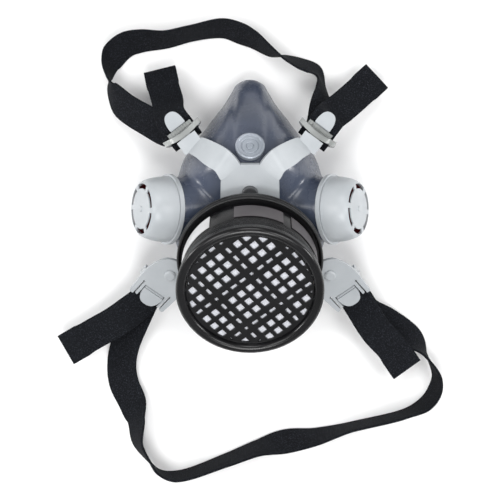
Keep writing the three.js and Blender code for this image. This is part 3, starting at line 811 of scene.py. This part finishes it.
def make_cover(side, place):
    outside = [(18.2, 2.7), (20.2, 2.7), (20.1, 5), (19.8, 8), (19.2, 11.2), (18.4, 14), (17.6, 16.2),
               (16.6, 17.8), (15.2, 18.9), (14.4, COVER_TOP), (3.2, COVER_TOP), (0, COVER_TOP)]
    inside = [(0, 18.2), (14.4, 18.2), (15.3, 16.2), (16.6, 13.4), (18, 8)]
    cup = mesh_object(f"valve_cover_{side}", lathe(outside + inside), place)
    slots = []
    for number in range(SLOT_COUNT):
        start = number * math.tau / SLOT_COUNT
        outline = arc(15.3, start, start + SLOT_ARC, 24) + arc(12.3, start + SLOT_ARC, start, 24)
        slots.append(prism(outline, 15.2, COVER_TOP + 1))
    combine(cup, [mesh_object("slots", joined(*slots), place)], "DIFFERENCE")
    pip = mesh_object("pip", lathe([(0, 18), (1.8, 18), (1.8, 19.2), (1.4, 19.7), (0, 19.8)], 48), place)
    combine(cup, [pip], "UNION")
    body = f"exhalation_cover_{side}"
    finish_piece(cup, "light", body, [body])
    paint_cup_shade(cup, place)
    soften(cup, 0.35)


def make_plug():
    profile = [(0, 0), (4.8, 0), (4.8, 1.6), (4.2, 2.1), (3.2, 2.1), (3, 1.5), (0.8, 1.5), (0.6, 0.6),
               (0, 0.6)]
    place = FRONT @ Matrix.Translation((0, 38.7, CLIP_BASE))
    add_round("yoke_button", profile, place, "dark", "mask", ["yoke_plug"], 64, 0.15)


# Yoke

YOKE_BACK = -15.5
YOKE_FRONT = -13
ARM_THICK = 2.4
COLLAR_HOLE = 23.3
STUD_HOLE = 2.8
UPPER_ARM = [
    [(3, 45, 67.3), (3, 34, 61)],
    [(7, 51.5, 71), (16.8, 40.8, 64.8)],
    [(12.5, 58, 70.6), (20.5, 46.2, 67.4)],
    [(19, 62.4, 66.8), (26.6, 50.4, 63.4)],
    [(25.2, 66, 59.4), (33.2, 56, 57.6)],
    [(31, 68.6, 50), (39.6, 60.6, 50)],
]
YOKE_HALF = [(57, 0), (57, 5.5), (56, 7), (46, 17.3), (20, 18), (10, 24)]


def arm_rows(sign):
    highs = [Vector(high) for high, low in UPPER_ARM]
    lows = [Vector(low) for high, low in UPPER_ARM]
    rows = []
    spans = len(highs) - 1
    steps = spans * 6
    for step in range(steps + 1):
        place = spans * step / steps
        high, low = spline_point(highs, place), spline_point(lows, place)
        after = spline_point(highs, min(place + 0.05, spans))
        before = spline_point(highs, max(place - 0.05, 0))
        down = (high - low).cross(after - before).normalized() * ARM_THICK
        if down.z > 0:
            down.negate()
        profile = [high, low, low + down, high + down]
        rows.append([(sign * p.x, p.y, p.z) for p in profile])
    return rows


def yoke_plate():
    left = [(-u, v) for v, u in YOKE_HALF]
    right = [(u, v) for v, u in YOKE_HALF[:0:-1]]
    top = mesh_object("yoke_rubber", prism(left + right, YOKE_BACK, YOKE_FRONT), FRONT)
    parts = [mesh_object("hub", disc(29, YOKE_BACK, YOKE_FRONT, 160), FRONT)]
    for side, sign in SIDES:
        x, y = sign * STUD_AT[0], STUD_AT[1]
        outline = [(sign * 16, 8), (x, y + 6.5), (x, y - 6.5), (sign * 14, -28)]
        parts.append(mesh_object("lower_arm", prism(outline, YOKE_BACK, YOKE_FRONT), FRONT))
        parts.append(mesh_object("arm_end", moved(disc(6.5, YOKE_BACK, YOKE_FRONT, 64), x, y), FRONT))
        rib = rod(1.1, (sign * 24, -8, YOKE_FRONT), (sign * 42, -15, YOKE_FRONT))
        parts.append(mesh_object("rib", rib, FRONT))
    return combine(top, parts, "UNION")


def make_yoke():
    yoke = yoke_plate()
    yoke.name = "harness_frame"
    parts = []
    for side, sign in SIDES:
        parts.append(mesh_object("upper_arm", loft(arm_rows(sign)), None))
        for end in (-1, 1):
            edges = sorted((3.9 * end, 6.6 * end))
            ear = box((edges[0], -9, 1.8), (edges[1], -2.6, 7.2))
            parts.append(mesh_object("ear", ear, buckle_frame(sign)))
        parts.append(mesh_object("hood", box((-6.6, -11, 6.9), (6.6, -2.2, 8.3)), buckle_frame(sign)))
    combine(yoke, parts, "UNION")
    holes = [mesh_object("collar_hole", disc(COLLAR_HOLE, YOKE_BACK - 8, YOKE_FRONT + 8, 160), FRONT)]
    for side, sign in SIDES:
        stud = moved(disc(STUD_HOLE, -20, -10, 48), sign * STUD_AT[0], STUD_AT[1])
        holes.append(mesh_object("stud_hole", stud, FRONT))
        holes.append(mesh_object("pin_hole", rod(1.2, (-12, *PIN_AT), (12, *PIN_AT)), buckle_frame(sign)))
    nose = mesh_object("nose", outer_shell())
    nose.location.z = 0.3 * MM
    holes.append(nose)
    combine(yoke, holes, "DIFFERENCE")
    pips = []
    for side, sign in SIDES:
        pip = lathe([(0, -0.5), (1.3, -0.5), (1.3, 0.5), (0.9, 0.9), (0, 1)], 32)
        shape = moved(pip, sign * 13.5, 34.5, YOKE_FRONT)
        pips.append(mesh_object("pip", shape, FRONT))
    combine(yoke, pips, "UNION")
    soften(yoke, 0.35, 2)
    finish_piece(yoke, "light", "mask", ["harness_yoke"])


# Upper buckles

PIN_AT = (-4.4, 4.5)
RING_RADIUS = 6.5
RING_SHIFT = 6.8
RING_BOW = 0.014


def stadium(radius, shift):
    right = [(x + shift, z) for x, z in arc(radius, -math.pi / 2, math.pi / 2, 24)]
    left = [(-x, -z) for x, z in right]
    side = [shift * (1 - place / 4) for place in range(1, 8)]
    return right + [(x, radius) for x in side] + left + [(-x, -radius) for x in side]


def upright(outline, low, high):
    """A prism whose outline stands in the x-z plane."""
    points, faces = prism(outline, low, high)
    return [(x, y, z) for x, z, y in points], faces


def bowed(shape):
    """Curves a ring's ends away from the arm that carries it."""
    return [(x, y + RING_BOW * x * x, z) for x, y, z in shape[0]], shape[1]


def make_upper_buckle(side, sign):
    place = buckle_frame(sign)
    outline = stadium(RING_RADIUS, RING_SHIFT)
    frame_ring = mesh_object(f"buckle_ring_{side}", bowed(upright(outline, -1.6, 1.6)), place)
    cams = [box((-8.5, 1.2, 0.2), (8.5, 5.6, 4.4)), box((-3.5, -6.3, 2.8), (3.5, -1, 6.2))]
    window = mesh_object("window", box((-10.7, -3, -3.1), (10.7, 6, 2.4)), place)
    combine(frame_ring, [window], "DIFFERENCE")
    combine(frame_ring, [mesh_object("cam", shape, place) for shape in cams], "UNION")
    grooves = [box((-8.1 + 1.8 * row, 1, 3.7), (-7.3 + 1.8 * row, 6, 5)) for row in range(10)]
    cuts = [mesh_object("grooves", joined(*grooves), place),
            mesh_object("pin_hole", rod(1.3, (-6, *PIN_AT), (6, *PIN_AT)), place)]
    combine(frame_ring, cuts, "DIFFERENCE")
    soften(frame_ring, 0.3, 2)
    body = f"upper_buckle_{side}"
    finish_piece(frame_ring, "clear", body, [body])
    pin = mesh_object(f"ring_pin_{side}", rod(1, (-6.6, *PIN_AT), (6.6, *PIN_AT)), place)
    shade_by_angle(pin)
    finish_piece(pin, "steel", "mask", [f"buckle_pin_{side}"])
    pad = moved(thumb_pad(PAD_LENGTH, 5.5, 0.8, 2.8), y=6.9, turn=math.pi / 2)
    tab = mesh_object(f"pull_tab_{side}", pad, place)
    knuckle = mesh_object("knuckle", rod(1, (-5.3, 6.9, 1.8), (5.3, 6.9, 1.8)), place)
    combine(tab, [knuckle], "UNION")
    soften(tab, 0.5)
    finish_piece(tab, "light", f"upper_lever_{side}", [f"upper_lever_{side}"])


PAD_LENGTH = 9.6
PAD_SQUARENESS = 0.8


def thumb_pad(length, half_width, low, high):
    outline = []
    for step in range(49):
        angle = math.pi * (step / 48 - 0.5)
        x = length * abs(math.cos(angle)) ** PAD_SQUARENESS
        y = half_width * math.copysign(abs(math.sin(angle)) ** PAD_SQUARENESS, angle)
        outline.append((x, y))
    return prism(outline, low, high)


# Lower clips

CLIP_HALF = [
    (-11, 0), (-10.6, 3), (-10, 5), (-8.5, 8.1), (-6, 9.9), (-3, 11.5), (0, 12.7), (4, 13.6), (7, 14),
    (10, 14), (18, 13.4), (24, 13), (25, 12.2), (25, 10.6), (24.6, 10.2), (14.2, 10.2), (13.6, 10.6),
    (13, 10.2), (12.7, 9.75), (13, 9.2), (13.6, 9), (14.2, 9.3), (24, 9), (24, 7.5), (15.1, 7.5), (15.1, 0),
]
BAR_AT = (11, -4.3)


def mirrored(half):
    return half + [(x, -y) for x, y in half[::-1] if y]


def cross_rod(radius, reach):
    """A rod along the clip's strap bar, reaching that far each side of the middle."""
    along, height = BAR_AT
    return rod(radius, (along, -reach, height), (along, reach, height))


def make_lower_clip(side, sign):
    place = clip_frame(sign)
    plate = mesh_object(f"strap_clip_{side}", prism(mirrored(CLIP_HALF), 0, 2.4), place)
    lugs = []
    for end in (-1, 1):
        edges = sorted((10.9 * end, 13.4 * end))
        lugs.append(mesh_object("lug", box((8, edges[0], -7), (14, edges[1], 0.4)), place))
    combine(plate, lugs, "UNION")
    holes = [mesh_object("bar_hole", cross_rod(1.6, 15), place),
             mesh_object("stud_hole", disc(STUD_HOLE, -1, 4, 48), place)]
    combine(plate, holes, "DIFFERENCE")
    soften(plate, 0.35, 2)
    body = f"lower_clip_{side}"
    finish_piece(plate, "light", body, [body])
    bar = mesh_object(f"bar_{side}", cross_rod(1.3, 13.4), place)
    shade_by_angle(bar)
    finish_piece(bar, "steel", body, [f"strap_bar_{side}"])
    tab = mesh_object(f"clip_tab_{side}", moved(thumb_pad(PAD_LENGTH, 7, 0, 3.4), x=16.7), place)
    knuckle = mesh_object("knuckle", rod(1.2, (16.7, -6.9, 1.2), (16.7, 6.9, 1.2)), place)
    combine(tab, [knuckle], "UNION")
    soften(tab, 0.6)
    finish_piece(tab, "light", f"lower_lever_{side}", [f"lower_lever_{side}"])
    stud = [(0, -4.2), (3.6, -4.2), (3.6, -3.1), (2.5, -3.1), (2.5, 2.7), (3.6, 2.7), (3.6, 3.3), (2.6, 4.1),
            (0, 4.1)]
    add_round(f"stud_{side}", stud, place, "light", "mask", [f"clip_stud_{side}"], 48, 0.2)


# Straps: stations are (point, direction across the strap), in millimetres

STRAP_WIDTH = 20
STRAP_THICK = 1.6
HEM_LENGTH = 14
HEM_EXTRA = 1.1
HEM_SPREAD = 0.05
HEAD_TAIL_LEFT = [
    [-57.9, 115.1, 12, 180],
    [-55.4, 105.1, 19, 180],
    [-51.5, 93, 30, 180],
]
HEAD_LOOP = [
    [-51.5, 74.5, 30, 13],
    [-63.5, 80.8, 24.5, 26],
    [-81.9, 93.1, 15, 37],
    [-89.1, 103.3, 10.2, 66],
    [-90.9, 111.5, 10.6, 92],
    [-90.3, 120, 10.2, 115],
    [-87.7, 125.9, 9, 132],
    [-80.2, 132.5, 9, 130],
    [-70.1, 135, 9.4, 123],
    [-54.4, 135.7, 10.2, 111],
    [-38, 139.6, 10.4, 107],
    [-17.4, 142.9, 10, 115],
    [-6, 139.6, 9.8, 119],
    [2.6, 135.4, 10.2, 111],
    [13.5, 127.8, 10.6, 96],
    [22.6, 124.1, 10.4, 73],
    [32.3, 120.3, 9.8, 61],
    [41.2, 116.4, 10, 58],
    [46, 107.1, 12.5, 78],
    [47.3, 97.3, 19, 60],
    [46, 86, 29, 24],
]
HEAD_TAIL_RIGHT = [
    [51.5, 84.5, 32, 180],
    [59.9, 91.5, 25, 180],
    [81, 111.2, 12, 180],
]
NECK_TAIL_RIGHT = [
    [99.9, -75.9, 17.5, 180],
    [89.8, -61.8, 19.3, 180],
    [80, -51.2, 20.5, 180],
]
NECK_LOOP = [
    [76, -40.3, 9.8, 6],
    [89, -47, 5.6, 16],
    [103.3, -56.3, 7, 34],
    [112.8, -67, 10.6, 80],
    [120.4, -81.3, 10.6, 95],
    [119, -91, 10.4, 104],
    [112.9, -99.3, 10.4, 104],
    [99.6, -105.7, 10.6, 95],
    [64.9, -114.1, 10.6, 96],
    [41.3, -120.6, 10.2, 113],
    [23.1, -123.5, 9.2, 128],
    [5, -127.7, 10.4, 109],
    [-15.1, -135.4, 10.5, 103],
    [-47.1, -145.8, 10.6, 97],
    [-58.9, -143, 10.6, 84],
    [-65.1, -136, 10.5, 77],
    [-72.4, -124.5, 10, 65],
    [-73.6, -109.8, 8.2, 50],
    [-76.2, -99.7, 4.5, 20],
    [-82.1, -86.7, 3.2, 10],
    [-83.4, -74.6, 4.5, 14],
    [-80.5, -60, 7.5, 16],
]
NECK_TAIL_LEFT = [
    [-84, -44.5, 20.5, 180],
    [-99.5, -53.4, 17, 180],
    [-117.6, -63.9, 14, 180],
]


def free_stations(route):
    stations = []
    for place, (x, y, z, tilt) in enumerate(route):
        before = route[max(place - 1, 0)]
        after = route[min(place + 1, len(route) - 1)]
        level = Vector((after[1] - before[1], before[0] - after[0], 0)).normalized()
        angle = math.radians(tilt)
        stations.append((Vector((x, y, z)), level * math.cos(angle) + Vector((0, 0, math.sin(angle)))))
    return stations


def wrap_stations(matrix, points, lateral, sign):
    across = (matrix.to_3x3() @ Vector(lateral) * -sign).normalized()
    return [(matrix @ Vector(point), across) for point in points]


UPPER_BAR_AT = (-0.3, -4.8)
UPPER_TURN = 3.3
LOWER_TURN = 2.4


def half_turn(radius):
    return arc(radius, math.pi / 2, 1.5 * math.pi, 4)


def upper_wrap(sign):
    """The strap's way round the ring's lower bar, from its tail to its loop."""
    turn = [(0, out + UPPER_BAR_AT[0], up + UPPER_BAR_AT[1]) for out, up in half_turn(UPPER_TURN)]
    points = [(0, 14, -1.7), (0, 6, -1.5), *turn, (0, 5.5, -8.4)]
    return wrap_stations(buckle_frame(sign), points, (1, 0, 0), sign)


def lower_wrap(sign):
    """The strap's way round the clip's bar, from its tail to its loop."""
    turn = [(out + BAR_AT[0], 0, up + BAR_AT[1]) for out, up in half_turn(LOWER_TURN)]
    points = [(27, 0, -2.4), (19, 0, -1.9), *turn, (18, 0, -6.7), (24, 0, -7.4)]
    return wrap_stations(clip_frame(sign), points, (0, 1, 0), sign)


def strap_section(extra):
    """Half the outline of the strap's cross-section round its rounded selvedges, both faces."""
    half, thick = STRAP_WIDTH / 2, STRAP_THICK / 2
    top = [(half, 0), (half - 0.12, thick * 0.6), (half - 0.6, thick), (half - 1.4, thick * 0.82)]
    top += [(half - step, thick * 0.9) for step in (3, 6, 10, 14, 17)]
    top += [(-(half - 1.4), thick * 0.82), (-(half - 0.6), thick), (-(half - 0.12), thick * 0.6), (-half, 0)]
    bottom = [(x, -z) for x, z in top[-2:0:-1]]
    return [(x, z + extra if z > 0 else z) for x, z in top] + bottom


def make_ribbon(name, stations, first, last, hem_at=None):
    """The strap between two places along its stations; hem_at is the end that is folded and sewn."""
    points = [station[0] for station in stations]
    leans = [station[1] for station in stations]
    steps = max(round((last - first) * 9), 4)
    places = [first + (last - first) * step / steps for step in range(steps + 1)]
    middles = [spline_point(points, place) for place in places]
    travel = [0.0]
    for before, after in zip(middles, middles[1:]):
        travel.append(travel[-1] + (after - before).length)
    rows, uv = [], []
    for place, middle, distance in zip(places, middles, travel):
        ahead = spline_point(points, min(place + 0.01, len(points) - 1))
        behind = spline_point(points, max(place - 0.01, 0))
        tangent = (ahead - behind).normalized()
        across = spline_point(leans, place)
        across = (across - tangent * across.dot(tangent)).normalized()
        up = tangent.cross(across).normalized()
        hem = 0.0
        if hem_at is not None:
            from_end = distance if hem_at == 0 else travel[-1] - distance
            hem = 1 - smooth_step(HEM_LENGTH - 0.8, HEM_LENGTH + 0.8, from_end)
        section = strap_section(HEM_EXTRA * hem)
        wider = 1 + HEM_SPREAD * hem
        rows.append([middle + across * x * wider + up * z for x, z in section])
        uv += [(x * MM, distance * MM) for x, z in section]
    ribbon = mesh_object(name, loft(rows), uv=uv)
    shade_by_angle(ribbon, 50)
    ribbon.data.materials.append(MATERIALS["webbing"])
    return ribbon, travel[-1]


def make_strap(name, ends, start, middle, end):
    """Two ends that move with their buckles or clips, each with a short bend to the loop between them."""
    stations = start + middle + end
    first_loop = len(start) + 1
    last_loop = len(start) + len(middle) - 2
    loop, length = make_ribbon(f"{name}_loop_band", stations, first_loop, last_loop)
    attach(loop, "mask")
    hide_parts(f"{name}_loop")
    spans = (
        (0, len(start) - 1, first_loop),
        (len(stations) - 1, len(start) + len(middle), last_loop),
    )
    for (end_side, body), (tip, wrap_end, loop_end) in zip(ends, spans):
        node = f"{name}_{end_side}"
        tail, tail_length = make_ribbon(f"{node}_tail", stations, *sorted((tip, wrap_end)),
                                        hem_at=0 if tip == 0 else 1)
        bend, bend_length = make_ribbon(f"{node}_bend", stations, *sorted((wrap_end, loop_end)))
        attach(tail, body)
        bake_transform(bend)
        for piece, piece_length in ((tail, tail_length), (bend, bend_length)):
            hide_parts(node)


def make_straps():
    make_strap(
        "head_strap",
        (("left", "upper_buckle_left"), ("right", "upper_buckle_right")),
        free_stations(HEAD_TAIL_LEFT) + upper_wrap(-1),
        free_stations(HEAD_LOOP),
        upper_wrap(1)[::-1] + free_stations(HEAD_TAIL_RIGHT),
    )
    make_strap(
        "neck_strap",
        (("right", "lower_clip_right"), ("left", "lower_clip_left")),
        free_stations(NECK_TAIL_RIGHT) + lower_wrap(1),
        free_stations(NECK_LOOP),
        lower_wrap(-1)[::-1] + free_stations(NECK_TAIL_LEFT),
    )


# Assembly

make_materials()
make_studio()
make_facepiece()
make_badge()
make_holder()
make_can()
make_rim()
make_grille()
make_filter_layers()
make_labels()
make_port()
make_exhalation_valves()
make_plug()
make_yoke()
for side, sign in SIDES:
    make_upper_buckle(side, sign)
    make_lower_clip(side, sign)
make_straps()
